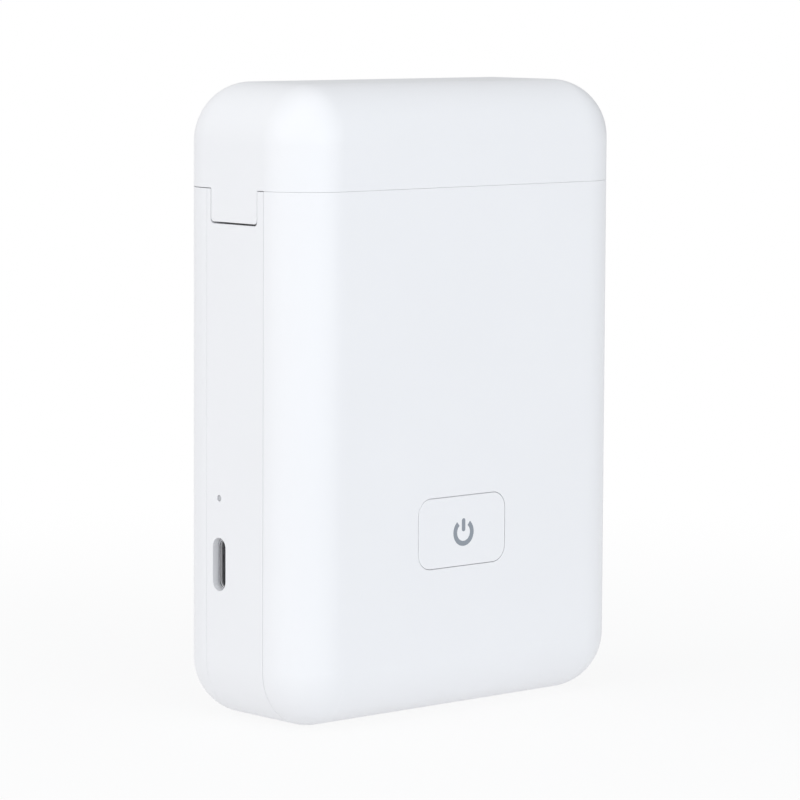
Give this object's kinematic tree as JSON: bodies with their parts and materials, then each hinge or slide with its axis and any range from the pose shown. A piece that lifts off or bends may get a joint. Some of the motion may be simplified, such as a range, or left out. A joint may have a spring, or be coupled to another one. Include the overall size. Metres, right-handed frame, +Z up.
{
  "type": "portable label printer",
  "caption": "Upright pocket label printer with a rounded case, a side-hinged top lid, a side label outlet, a wide power button and a USB-C socket.",
  "frame": {"origin": "on the ground under the middle of the case", "axes": "+Z up, +Y towards the back of the case, +X towards the hinge side; the button faces -Y and the label outlet -X"},
  "size_m": [0.079, 0.034, 0.112],
  "materials": {
    "case_plastic": "fine matte white moulded plastic",
    "button_plastic": "fine matte white moulded plastic",
    "frame_plastic": "matte pale grey moulded plastic",
    "screw_steel": "zinc-plated screws",
    "steel": "bright steel",
    "spring_steel": "spring steel",
    "motor_can": "plated motor can",
    "brass": "turned brass",
    "gear_plastic": "natural acetal",
    "roller_rubber": "smooth black silicone rubber",
    "spindle_plastic": "dark grey moulded plastic",
    "cardboard": "wound core board",
    "label_paper": "thermal label paper",
    "chip_plastic": "black moulded epoxy",
    "aluminium": "plain aluminium plate",
    "head_ceramic": "glazed ceramic substrate",
    "circuit_board": "green solder mask",
    "connector_steel": "plated connector shell",
    "led_plastic": "milky lens",
    "clear_plastic": "clear acrylic",
    "battery_wrap": "foil pouch"
  },
  "bodies": {
    "housing": {"front_shell": "case_plastic", "middle_frame": "case_plastic", "rear_shell": "case_plastic", "case_screws": "screw_steel", "inner_frame": "frame_plastic", "gear_bracket": "steel", "bracket_screws": "screw_steel", "gear_pins": "steel", "motor_body": "motor_can", "hinge_pin": "steel", "head_pivot_pin": "steel", "head_spring": "spring_steel", "tear_bar": "steel", "label_sensor": "chip_plastic", "label_strip": "label_paper", "main_board": "circuit_board", "board_chips": "chip_plastic", "board_screws": "screw_steel", "tact_switch": "chip_plastic", "usb_board": "circuit_board", "usb_board_screws": "screw_steel", "usb_shell": "connector_steel", "usb_tongue": "chip_plastic", "status_led": "led_plastic", "light_pipe": "clear_plastic", "battery_cell": "battery_wrap"},
    "lid": {"lid_shell": "case_plastic", "lid_frame": "frame_plastic", "lid_screws": "screw_steel", "platen_bushes": "brass"},
    "platen": {"platen_shaft": "steel", "platen_rubber": "roller_rubber", "platen_gear": "gear_plastic"},
    "supply_roll": {"label_roll": "label_paper", "roll_core": "cardboard", "roll_spindle": "spindle_plastic"},
    "idler": {"idler_gear": "gear_plastic"},
    "reduction": {"reduction_gear": "gear_plastic"},
    "motor_rotor": {"motor_shaft": "steel", "motor_pinion": "brass"},
    "print_head": {"head_plate": "aluminium", "head_substrate": "head_ceramic"},
    "button": {"power_button": "button_plastic", "tact_plunger": "chip_plastic"}
  },
  "joints": [
    {"name": "lid_hinge", "type": "hinge", "parent": "housing", "child": "lid", "pos_m": [0.0379, 0, 0.086], "axis": [0, 1, 0], "range_deg": [0, 110]},
    {"name": "supply_roll_spin", "type": "hinge", "parent": "housing", "child": "supply_roll", "pos_m": [0.008, 0, 0.072], "axis": [0, 1, 0], "continuous": true},
    {"name": "platen_spin", "type": "hinge", "parent": "lid", "child": "platen", "pos_m": [-0.03, 0, 0.09205], "axis": [0, 1, 0], "continuous": true},
    {"name": "idler_spin", "type": "hinge", "parent": "housing", "child": "idler", "pos_m": [-0.03, 0, 0.08205], "axis": [0, 1, 0], "continuous": true},
    {"name": "reduction_spin", "type": "hinge", "parent": "housing", "child": "reduction", "pos_m": [-0.0252, 0, 0.07565], "axis": [0, 1, 0], "continuous": true},
    {"name": "motor_spin", "type": "hinge", "parent": "housing", "child": "motor_rotor", "pos_m": [-0.0252, 0, 0.06365], "axis": [0, 1, 0], "continuous": true},
    {"name": "head_pivot", "type": "hinge", "parent": "housing", "child": "print_head", "pos_m": [-0.0205, 0, 0.0864], "axis": [0, 1, 0], "range_deg": [-2, 0], "stiffness_Nm_per_rad": 0.3, "springref_deg": 2.86, "deforming": ["head_spring"]},
    {"name": "button_press", "type": "slide", "parent": "housing", "child": "button", "axis": [0, 1, 0], "range_m": [0, 0.0004], "stiffness_N_per_m": 500}
  ],
  "couplings": [
    {"joint": "platen_spin", "follows": "supply_roll_spin", "ratio": -3.9},
    {"joint": "idler_spin", "follows": "supply_roll_spin", "ratio": 3.9},
    {"joint": "reduction_spin", "follows": "supply_roll_spin", "ratio": -6.5},
    {"joint": "motor_spin", "follows": "supply_roll_spin", "ratio": 19.5}
  ]
}
